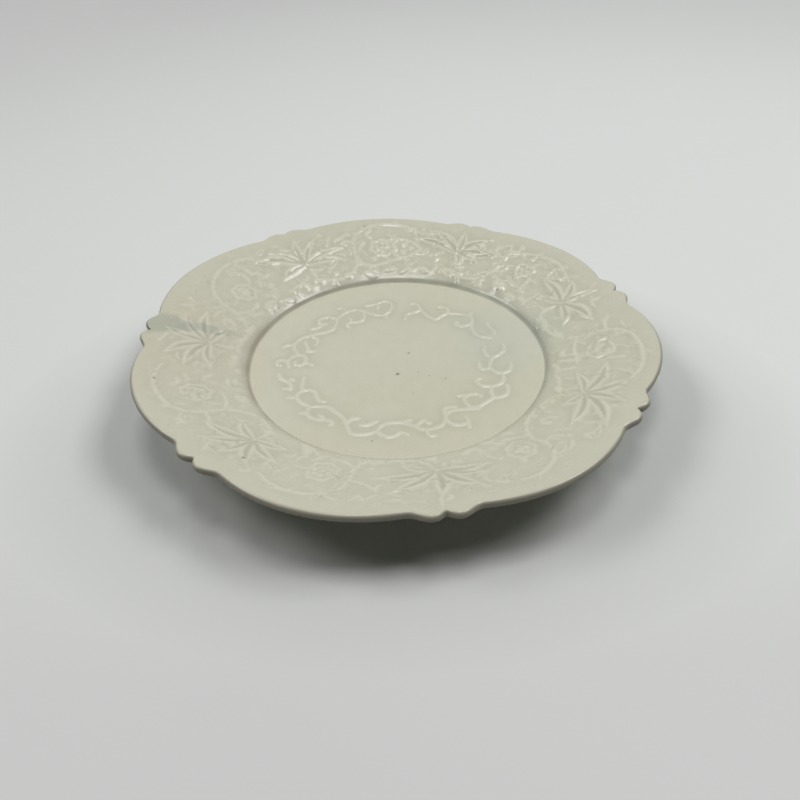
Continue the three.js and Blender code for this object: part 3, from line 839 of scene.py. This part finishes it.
def raise_vine(relief, points):
    """A vine, with small leaves off it to either side in turn."""
    path = catmull(points)
    relief.stroke(path, tapered(VINE_HALF_WIDTH), VINE_HEIGHT, cord)
    travel = np.concatenate([[0], np.cumsum(np.linalg.norm(np.diff(path, axis=0), axis=1))])
    rng = np.random.default_rng(SPRIG_SEED + relief.unit)
    side = 1
    for away in np.arange(SPRIG_FIRST, travel[-1] - SPRIG_LAST, SPRIG_PITCH):
        i = np.searchsorted(travel, away)
        along = (path[i + 1] - path[i - 1]) / np.linalg.norm(path[i + 1] - path[i - 1])
        aside = side * beside(along)
        reach = rng.uniform(*SPRIG_REACH)
        tip = path[i] + reach * (rng.uniform(*SPRIG_ALONG) * along + rng.uniform(*SPRIG_ASIDE) * aside)
        halfway = (path[i] + tip) / 2 + SPRIG_BOW * aside
        leaf = catmull([path[i], halfway, tip], SMALL_SPAN_STEPS)
        raise_small_leaf(relief, leaf, rng.uniform(*SPRIG_HALF_WIDTH), SPRIG_HEIGHT)
        side = -side


def raise_unit(relief, parts):
    raise_ground(relief)
    raise_leaf(relief, parts["leaf"], parts["leaflets"])
    raise_vine(relief, parts["vine"])
    for twig in parts["twigs"]:
        relief.stroke(catmull(twig), tapered(TWIG_HALF_WIDTH), TWIG_HEIGHT, cord)
    for petal in parts.get("petals", ()):
        relief.stroke(catmull(petal), tapered(*PETAL_TAPER), BLOOM_HEIGHT, cord)
    if "bloom" in parts:
        raise_bloom(relief, *parts["bloom"])
    for bud in parts.get("buds", ()):
        raise_bud(relief, *bud)
    for across, out, radius in parts.get("beads", ()):
        relief.bead((across, out), radius, BEAD_RISE[0] + BEAD_RISE[1] * radius)


def raise_all(relief):
    for unit, parts in enumerate(UNITS):
        relief.set_out(unit, BAY_SHARES[unit])
        raise_unit(relief, parts)
    for points in WREATH:
        path = catmull(points) + np.array(WREATH_MOVE)
        relief.set_out(None, np.interp(path[:, 1].mean(), WREATH_SPAN, WREATH_SHARES))
        relief.stroke(path, tapered(SCROLL_HALF_WIDTH), SCROLL_HEIGHT, cord)
    relief.set_out(None, 1)
    for points in SCRATCHES:
        relief.stroke(catmull(points), SCRATCH_HALF_WIDTH, SCRATCH_HEIGHT, cord)


def blur(field, radii, sigma):
    """Spreads heights on the ring grid, as the glaze does when it melts."""
    count = field.shape[1]
    wave = np.fft.rfftfreq(count) * count
    spread = np.exp(-0.5 * (wave[None, :] * sigma / radii[:, None]) ** 2)
    field = np.fft.irfft(np.fft.rfft(field, axis=1) * spread, count, axis=1)
    gaps = radii[:, None] - radii[None, :]
    weight = np.exp(-0.5 * (gaps / sigma) ** 2) * np.gradient(radii)[None, :]
    return (weight / weight.sum(1, keepdims=True)) @ field


def waves(x, y, seed, count, shortest, longest, size):
    rng = np.random.default_rng(seed)
    height = np.zeros_like(x)
    for _ in range(count):
        turn = rng.uniform(0, 2 * np.pi)
        wave = rng.uniform(shortest, longest)
        phase = rng.uniform(0, 2 * np.pi)
        height += size * np.sin(2 * np.pi * (x * np.cos(turn) + y * np.sin(turn)) / wave + phase)
    return height


def unevenness(x, y, out):
    """Swells of hand-pressed clay under the glaze, and ripples on the ground of the rim's relief."""
    on_rim = smooth(*RIPPLES_BEGIN, out) * smooth(*RIPPLES_END, out)
    whole = smooth(LOBE_RADIUS, LOBE_RADIUS - SWELLS_END, out)
    return whole * waves(x, y, *SWELLS) + on_rim * waves(x, y, *RIPPLES)


def flaw_depth(x, y):
    """How far into a pit each place lies, from 0 to 1, and the depth of the pits."""
    shade = np.zeros_like(x)
    depth = np.zeros_like(x)
    for place_x, place_y, radius in FLAWS:
        inside = np.exp(-(((x - place_x) ** 2 + (y - place_y) ** 2) / radius**2))
        shade = np.maximum(shade, inside)
        depth = np.maximum(depth, FLAW_DEPTH_SHARE * radius * inside)
    return shade, depth


def run_share(theta, radius):
    """Where the grey-green run lies, from 0 to 1."""
    bearing = np.radians(np.interp(radius, RUN_RADII, RUN_BEARINGS))
    half_width = np.interp(radius, RUN_RADII, RUN_HALF_WIDTHS)
    strength = np.interp(radius, RUN_RADII, RUN_STRENGTHS)
    wander = sum(size * np.sin(radius / length + phase) for size, length, phase in RUN_WANDER)
    away = np.abs((theta % (2 * np.pi) - bearing) * radius + wander)
    return strength * smooth(*RUN_EDGE, away / half_width)


def patch_share(x, y, place, end, full):
    """A round patch: 0 at one distance from its middle and 1 at another."""
    return smooth(end, full, np.hypot(x - place[0], y - place[1]))


def pool_and_shade_share(radius):
    """Glaze pooled at the foot of the wall, and painted shade on the wall."""
    away = np.clip((radius - POOL_FALL[0]) / (POOL_FALL[1] - POOL_FALL[0]), 0, 1)
    return smooth(*POOL_RISE, radius) * (1 - away) ** POOL_FALL_POWER


def ring_steps(radius, top):
    slack = 0.01
    if radius < MIDDLE_RADIUS + slack:
        return FINE_STEPS // 9
    if radius < (PLAIN_RADIUS if top else UNDER_PLAIN_RADIUS) + slack:
        return FINE_STEPS // 3
    return FINE_STEPS


def ring_faces(first, first_count, second, second_count):
    """Faces between two rings of the skin; where the counts differ, one has three times the other's."""
    faces = []
    small = min(first_count, second_count)
    a_step = first_count // small
    b_step = second_count // small
    for i in range(small):
        a = [first + (i * a_step + k) % first_count for k in range(a_step + 1)]
        b = [second + (i * b_step + k) % second_count for k in range(b_step + 1)]
        faces.append(a[::-1] + b)
    return faces


def top_rings(rings, count):
    """Raised heights and glaze shares of the top's rings of one step count, as arrays of ring by step."""
    chosen = [i for i, ring in enumerate(rings) if ring["top"] and len(ring["theta"]) == count]
    theta = np.stack([rings[i]["theta"] for i in chosen])
    out = np.stack([rings[i]["out"] for i in chosen])
    radii = np.array([rings[i]["radius"] for i in chosen])
    x = out * np.cos(theta)
    y = out * np.sin(theta)
    relief = Relief(x, y)
    raise_all(relief)
    groove = blur(relief.groove, radii, GLAZE_SOFTENING)
    shape = relief.height * (1 - GROOVE_CUT * relief.groove) - GROOVE_DEPTH * relief.groove
    raised = blur(shape, radii, GLAZE_SOFTENING)
    level = blur(shape, radii, GLAZE_LEVELLING)
    shade, depth = flaw_depth(x, y)
    # Glaze pooled at the foot of the wall and painted shade on the wall, darker at the far side
    strength = POOL_AND_SHADE_STRENGTH + FAR_WALL_SHADE_GAIN * smooth(*FAR_WALL_SHADE_SPAN, y) + waves(x, y, *POOL_WAVES)
    pool_and_shade = pool_and_shade_share(out) * strength
    # Ridges paler in the well: thin glaze, and a painted highlight on the wreath's lines
    gain = 1 + WELL_RIDGE_AND_HIGHLIGHT_GAIN * smooth(WALL_FOOT[0], WELL_RIDGE_AND_HIGHLIGHT_RADIUS, out)
    shares = dict(
        ridge=np.clip((raised - level) / RIDGE_FULL * gain, -1, 1),
        groove=np.clip(groove, 0, 1),
        flaw=shade,
        # A cooler patch in the well: a painted reflection
        cool_reflection=patch_share(x, y, *COOL_REFLECTION_PATCH),
        warm=patch_share(x, y, *WARM_PATCH),
        pool_and_shade_left=pool_and_shade * smooth(POOL_SIDE, -POOL_SIDE, x),
        pool_and_shade_right=pool_and_shade * smooth(-POOL_SIDE, POOL_SIDE, x),
    )
    for row, i in enumerate(chosen):
        rings[i]["z"] = rings[i]["z"] + raised[row] + unevenness(x[row], y[row], out[row]) - depth[row]
        rings[i].update({name: values[row] for name, values in shares.items()})


def well_dullness(radius):
    """Duller glaze in the well, and dullest at the foot of the wall."""
    start = WALL_FOOT[0]
    foot = smooth(start - FOOT_DULL_FADE, start, radius) * smooth(WALL_HIGH[0], WALL_LOW[0], radius)
    return max(foot, WELL_DULLNESS * smooth(start, start - WELL_DULL_FADE, radius))


def skin_rings():
    """Rings of the skin from the middle of the floor over the lip to the middle of the underside."""
    top, under = plate_profile()
    rings = []
    for on_top, profile in ((True, top), (False, under)):
        for radius, z in profile:
            steps = ring_steps(radius, on_top)
            theta = 2 * np.pi * np.arange(steps) / steps
            share = max(0, (radius - TRIM_RADIUS) / (LOBE_RADIUS - TRIM_RADIUS))
            out = radius + share * (edge_radius(theta) - LOBE_RADIUS)
            height = z + flange_z(out) - flange_z(radius)
            # The lip's share: a warmer tone of its thin glaze, and painted shade on its outer face and the
            # edge of the underside
            if on_top:
                edge = smooth(LIP_RADIUS, LIP_RADIUS + LIP_SHADE_SHARE * LIP_ROUND, radius)
            else:
                edge = smooth(LIP_RADIUS - LIP_SHADE_FADE, LIP_RADIUS, radius)
            ring = dict(top=on_top, radius=radius, theta=theta, out=out, z=height, edge=edge)
            ring.update({name: np.zeros(steps) for name in SHARES})
            rings.append(ring)
    for count in (FINE_STEPS // 9, FINE_STEPS // 3, FINE_STEPS):
        top_rings(rings, count)
    for ring in rings:
        if ring["top"] or ring["radius"] > TRIM_RADIUS:
            ring["run"] = run_share(ring["theta"], ring["out"])
        ring["lip"] = np.full(len(ring["theta"]), ring["edge"])
        ring["dull"] = np.maximum(ring["lip"], well_dullness(ring["radius"]) if ring["top"] else 0)
        # The underside's share: painted shade
        ring["under"] = np.full(len(ring["theta"]), 0.0 if ring["top"] else 1.0)
        ring["z"] = ring["z"] + rim_warp(ring["theta"], ring["out"])
    return rings


def ring_places(out, theta, z):
    return np.stack([out * np.cos(theta), out * np.sin(theta), z + 0 * theta], 1)


def plate_skin():
    rings = skin_rings()
    counts = [len(ring["theta"]) for ring in rings]
    starts = np.concatenate([[0], np.cumsum(counts)]).tolist()
    places = [ring_places(ring["out"], ring["theta"], ring["z"]) for ring in rings]
    middles = np.array([[0, 0, float(np.mean(rings[0]["z"]))], [0, 0, FOOT_HEIGHT]])
    faces = []
    is_top = []
    for i in range(len(rings) - 1):
        strip = ring_faces(starts[i], counts[i], starts[i + 1], counts[i + 1])
        faces += strip
        is_top += [rings[i]["top"]] * len(strip)
    end = starts[-1]
    last = starts[-2]
    faces += [[end, k, (k + 1) % counts[0]] for k in range(counts[0])]
    faces += [[end + 1, last + (k + 1) % counts[-1], last + k] for k in range(counts[-1])]
    is_top += [True] * counts[0] + [False] * counts[-1]
    shares = {}
    for name in SHARES:
        middle_values = [[np.mean(rings[0][name])], [np.mean(rings[-1][name])]]
        shares[name] = np.concatenate([ring[name] for ring in rings] + middle_values)
    skin = add_piece("plate_glazed", np.concatenate(places + [middles]) * MM, faces, shares)
    lay_flat(skin.data, rings, np.array(is_top))
    return skin


def lay_flat(mesh, rings, is_top):
    """Lays the skin out as two discs, the top and the underside, by the travel along its section."""
    section = np.array([[r["radius"], float(np.mean(r["z"]))] for r in rings])
    steps = np.linalg.norm(np.diff(section, axis=0), axis=1)
    inward = np.concatenate([[0], np.cumsum(steps)])
    split = next(i for i, ring in enumerate(rings) if not ring["top"])
    top_travel = inward + section[0, 0]
    under_travel = inward[-1] - inward + section[-1, 0]
    layout = []
    for travel, (middle, radius) in ((top_travel, TOP_DISC), (under_travel, UNDER_DISC)):
        reach = travel / travel[split] * radius
        places = [
            np.stack([middle + d * np.cos(r["theta"]), middle + d * np.sin(r["theta"])], 1)
            for d, r in zip(reach, rings)
        ]
        layout.append(np.concatenate(places + [np.full((2, 2), middle)]))
    corners = np.zeros(len(mesh.loops), np.int32)
    mesh.loops.foreach_get("vertex_index", corners)
    sizes = np.zeros(len(mesh.polygons), np.int32)
    mesh.polygons.foreach_get("loop_total", sizes)
    on_top = np.repeat(is_top, sizes)
    flat = np.where(on_top[:, None], layout[0][corners], layout[1][corners])
    mesh.uv_layers.new(name="OFBake").data.foreach_set("uv", flat.astype(np.float32).ravel())


def add_piece(name, places, faces, shares):
    """A smooth mesh as an object, with shares as point attributes."""
    mesh = bpy.data.meshes.new(name)
    mesh.from_pydata(places, [], faces)
    mesh.polygons.foreach_set("use_smooth", np.ones(len(mesh.polygons), bool))
    for share, values in shares.items():
        mesh.attributes.new(share, "FLOAT", "POINT").data.foreach_set("value", values.astype(np.float32))
    mesh.update()
    return add_object(name, mesh)


def add_object(name, data):
    item = bpy.data.objects.new(name, data)
    bpy.context.scene.collection.objects.link(item)
    return item


def foot_ring():
    inner = FOOT_OUTER_RADIUS - FOOT_SEAT_WIDTH
    taper = (FOOT_SEAT_WIDTH - FOOT_TREAD_WIDTH) / 2
    left = inner + taper
    right = FOOT_OUTER_RADIUS - taper
    low = FOOT_TREAD_ROUND
    section = np.concatenate([
        line((inner, FOOT_HEIGHT), (left, low), FOOT_STEP),
        bend((left, low), (left, 0), (left + low, 0), FOOT_TREAD_BEND_STEPS),
        line((left + low, 0), (right - low, 0), FOOT_STEP),
        bend((right - low, 0), (right, 0), (right, low), FOOT_TREAD_BEND_STEPS),
        line((right, low), (FOOT_OUTER_RADIUS, FOOT_HEIGHT), FOOT_STEP),
        line((FOOT_OUTER_RADIUS, FOOT_HEIGHT), (inner, FOOT_HEIGHT), FOOT_SEAT_STEP),
    ])
    steps = FINE_STEPS // 2
    theta = 2 * np.pi * np.arange(steps) / steps
    wander = sum(size * np.sin(turns * theta + phase) for size, turns, phase in FOOT_BARE_WANDER)
    edge = FOOT_BARE_HEIGHT + wander
    places = []
    bare = []
    for r, z in section:
        places.append(ring_places(r, theta, z))
        bare.append(smooth(edge + FOOT_BARE_BLUR, edge - FOOT_BARE_BLUR, z))
    faces = []
    for i in range(len(section)):
        faces += ring_faces(((i + 1) % len(section)) * steps, steps, i * steps, steps)
    return add_piece("foot_clay", np.concatenate(places) * MM, faces, dict(bare=np.concatenate(bare)))


class Nodes:
    """The node tree of a material or a world, with a short way to add nodes."""

    def __init__(self, owner):
        owner.use_nodes = True
        self.tree = owner.node_tree

    def add(self, kind, inputs=(), **settings):
        node = self.tree.nodes.new(kind)
        for name, value in settings.items():
            setattr(node, name, value)
        self.feed(node, inputs)
        return node

    def feed(self, node, inputs):
        """Gives a node's inputs their values, each a socket to link or a constant."""
        for key, value in dict(inputs).items():
            if isinstance(value, bpy.types.NodeSocket):
                self.tree.links.new(value, node.inputs[key])
            else:
                node.inputs[key].default_value = value


class Surface(Nodes):
    """A material, with short ways to add the nodes used here."""

    def __init__(self, name):
        self.material = bpy.data.materials.new(name)
        super().__init__(self.material)
        self.place = self.add("ShaderNodeTexCoord").outputs["Object"]

    def noise(self, scale, detail):
        inputs = {"Vector": self.place, "Scale": scale, "Detail": detail}
        return self.add("ShaderNodeTexNoise", inputs).outputs["Fac"]

    def mottle(self, scale, detail, low, high, to_low=0, to_high=1):
        """Noise that runs from one value to another between two of its levels."""
        return self.spread(self.noise(scale, detail), low, high, to_low, to_high)

    def near(self, reach, behind):
        """Falls from 1 at a place in front of the object's origin to 0 at a distance across and along."""
        size = (1 / reach[0], 1 / reach[1], 1)
        inputs = {"Vector": self.place, "Location": (0, behind / reach[1], 0), "Scale": size}
        scaled = self.add("ShaderNodeMapping", inputs).outputs["Vector"]
        ball = self.add("ShaderNodeTexGradient", {"Vector": scaled}, gradient_type="SPHERICAL")
        return ball.outputs["Fac"]

    def share(self, name):
        return self.add("ShaderNodeAttribute", attribute_name=name).outputs["Fac"]

    def spread(self, value, low, high, to_low=0, to_high=1):
        inputs = {"Value": value, "From Min": low, "From Max": high, "To Min": to_low, "To Max": to_high}
        return self.add("ShaderNodeMapRange", inputs).outputs["Result"]

    def ramp(self, value, positions, colours):
        node = self.add("ShaderNodeValToRGB", {"Fac": value})
        elements = node.color_ramp.elements
        while len(elements) < len(colours):
            elements.new(0.5)
        for element, position, colour in zip(elements, positions, colours):
            element.position = position
            element.color = (*colour, 1)
        return node.outputs["Color"]

    def tint(self, share, colour, other, strength=1, blend="MIX"):
        """Colour mixed with a fixed one, or with another socket, by a share."""
        other = (*other, 1) if isinstance(other, tuple) else other
        inputs = {"Factor": self.spread(share, 0, 1, 0, strength), 6: colour, 7: other}
        return self.add("ShaderNodeMix", inputs, data_type="RGBA", blend_type=blend).outputs[2]

    def blend(self, share, value, other):
        """A value mixed with a fixed one by a share."""
        inputs = {"Factor": share, "A": value, "B": other}
        return self.add("ShaderNodeMix", inputs, data_type="FLOAT").outputs["Result"]

    def finish(self, colour, roughness, scale, detail, depth):
        """The material with its colour, its roughness and a fine grain: a noise and its depth in metres."""
        inputs = {"Height": self.noise(scale, detail), "Distance": depth, "Strength": 1}
        normal = self.add("ShaderNodeBump", inputs).outputs["Normal"]
        shader = self.tree.nodes["Principled BSDF"]
        self.feed(shader, {"Base Color": colour, "Roughness": roughness, "Normal": normal})
        return self.material


def glaze_material():
    nodes = Surface("celadon_glaze")
    colour = nodes.ramp(nodes.spread(nodes.share("ridge"), -1, 1), (0, 0.5, 1), GLAZE)
    for *noise, tint in NOISE_TINTS:
        colour = nodes.tint(nodes.mottle(*noise), colour, tint, blend="MULTIPLY")
    for name, tint in SHARE_TINTS.items():
        colour = nodes.tint(nodes.share(name), colour, tint, blend="MULTIPLY")
    colour = nodes.tint(nodes.mottle(*SPECK_NOISE), colour, SPECK, SPECK_STRENGTH)
    colour = nodes.tint(nodes.share("flaw"), colour, PIT, PIT_STRENGTH)
    gloss = nodes.mottle(*GLAZE_ROUGHNESS_NOISE, *GLAZE_ROUGHNESS)
    roughness = nodes.blend(nodes.share("dull"), gloss, DULL_ROUGHNESS)
    return nodes.finish(colour, roughness, *GLAZE_GRAIN)


def clay_material():
    nodes = Surface("foot_clay")
    bare = nodes.share("bare")
    glaze = nodes.ramp(nodes.mottle(*FOOT_GLAZE_NOISE), (0, 1), FOOT_GLAZE)
    clay = nodes.ramp(nodes.noise(*FOOT_CLAY_NOISE), FOOT_CLAY_ENDS, FOOT_CLAY)
    roughness = nodes.spread(bare, 0, 1, *FOOT_ROUGHNESS)
    return nodes.finish(nodes.tint(bare, glaze, clay), roughness, *FOOT_GRAIN)


def floor_material():
    nodes = Surface("pale_floor")
    plain = nodes.ramp(nodes.mottle(*FLOOR_NOISE), (0, 1), FLOOR_COLOURS)
    # Brighter behind the plate and to its right: painted light
    colour = nodes.tint(nodes.share("painted_light"), plain, FLOOR_PAINTED_LIGHT)
    # A darker tint close round the plate: a painted shadow
    near = nodes.spread(nodes.near(FLOOR_PAINTED_SHADOW_REACH, FLOOR_PAINTED_SHADOW_FRONT), *FLOOR_PAINTED_SHADOW_ENDS)
    colour = nodes.tint(near, colour, FLOOR_PAINTED_SHADOW, blend="MULTIPLY")
    return nodes.finish(colour, FLOOR_ROUGHNESS, *FLOOR_GRAIN)


def turned(vector, axis, angle):
    return Matrix.Rotation(angle, 3, axis) @ vector


def place_camera():
    elevation = math.radians(CAMERA_ELEVATION)
    forward = Vector((0, math.cos(elevation), -math.sin(elevation)))
    right = Vector((1, 0, 0))
    up = right.cross(forward)
    across = (RIM_MIDDLE_PIXEL[0] - PICTURE_SIZE / 2) / FOCAL_PIXELS
    above = (PICTURE_SIZE / 2 - RIM_MIDDLE_PIXEL[1]) / FOCAL_PIXELS
    yaw = -math.atan(across)
    pitch = -math.atan(above * math.cos(yaw))
    forward, right = turned(forward, up, yaw), turned(right, up, yaw)
    forward, up = turned(forward, right, pitch), turned(up, right, pitch)
    roll = math.radians(CAMERA_ROLL)
    right, up = turned(right, forward, roll), turned(up, forward, roll)
    camera = add_object("camera", bpy.data.cameras.new("camera"))
    camera.data.sensor_width = SENSOR_WIDTH
    camera.data.lens = SENSOR_WIDTH * FOCAL_PIXELS / PICTURE_SIZE
    camera.data.clip_start = 0.01
    back = CAMERA_DISTANCE * math.cos(elevation)
    where = Vector((0, -back, LIP_TOP + CAMERA_DISTANCE * math.sin(elevation)))
    turn = Matrix((right, up, -forward)).transposed()
    camera.matrix_world = Matrix.Translation(where * MM) @ turn.to_4x4()
    bpy.context.scene.camera = camera


def add_lamp(name, place, size, power):
    """A panel turned to the plate."""
    lamp = bpy.data.lights.new(name, "AREA")
    lamp.shape = "RECTANGLE"
    lamp.size, lamp.size_y = size
    lamp.energy = power
    holder = add_object(name, lamp)
    holder.location = place
    holder.rotation_euler = (-Vector(place)).to_track_quat("-Z", "Y").to_euler()


def add_world():
    """A weak fill, and a pale backdrop that only the camera and mirrored or passing rays see."""
    world = bpy.data.worlds.new("studio")
    bpy.context.scene.world = world
    nodes = Nodes(world)
    fill = nodes.tree.nodes["Background"]
    nodes.feed(fill, {"Color": FILL_COLOUR, "Strength": FILL_LEVEL})
    seen = nodes.add("ShaderNodeBackground", {"Color": BACKDROP_COLOUR})
    ray = nodes.add("ShaderNodeLightPath").outputs
    shown = ray["Is Camera Ray"]
    for kind in ("Is Glossy Ray", "Is Transmission Ray"):
        either = nodes.add("ShaderNodeMath", {0: shown, 1: ray[kind]}, operation="MAXIMUM")
        shown = either.outputs["Value"]
    inputs = {"Fac": shown, 1: fill.outputs["Background"], 2: seen.outputs["Background"]}
    mix = nodes.add("ShaderNodeMixShader", inputs)
    nodes.feed(nodes.tree.nodes["World Output"], {"Surface": mix.outputs["Shader"]})


def add_floor():
    """A pale floor, with painted light that makes it a little brighter behind the plate and to its right.
    """
    ticks = np.linspace(-FLOOR_HALF, FLOOR_HALF, FLOOR_STEPS + 1)
    x, y = (grid.ravel() for grid in np.meshgrid(ticks, ticks))
    row = FLOOR_STEPS + 1
    corner = np.arange(row * FLOOR_STEPS).reshape(FLOOR_STEPS, row)[:, :-1].ravel()
    faces = np.stack([corner, corner + 1, corner + row + 1, corner + row], 1)
    painted_light = patch_share(x, y, *FLOOR_PAINTED_LIGHT_PATCH) * smooth(*FLOOR_PAINTED_LIGHT_START, y)
    floor = add_piece("floor", np.stack([x, y, 0 * x], 1), faces.tolist(), dict(painted_light=painted_light))
    floor.data.materials.append(floor_material())


RELIEF_NODES = sorted(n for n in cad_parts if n.startswith(("rim_", "well_scroll_")))

place_camera()

skin = plate_skin()
skin.data.materials.append(glaze_material())
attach(skin, "root")
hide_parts("plate_body", *RELIEF_NODES)

foot = foot_ring()
foot.data.materials.append(clay_material())
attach(foot, "root")
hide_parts("foot_ring")

add_floor()
add_world()
for name, panel in PANELS.items():
    add_lamp(name, *panel)

bpy.context.scene.view_settings.view_transform = "Standard"
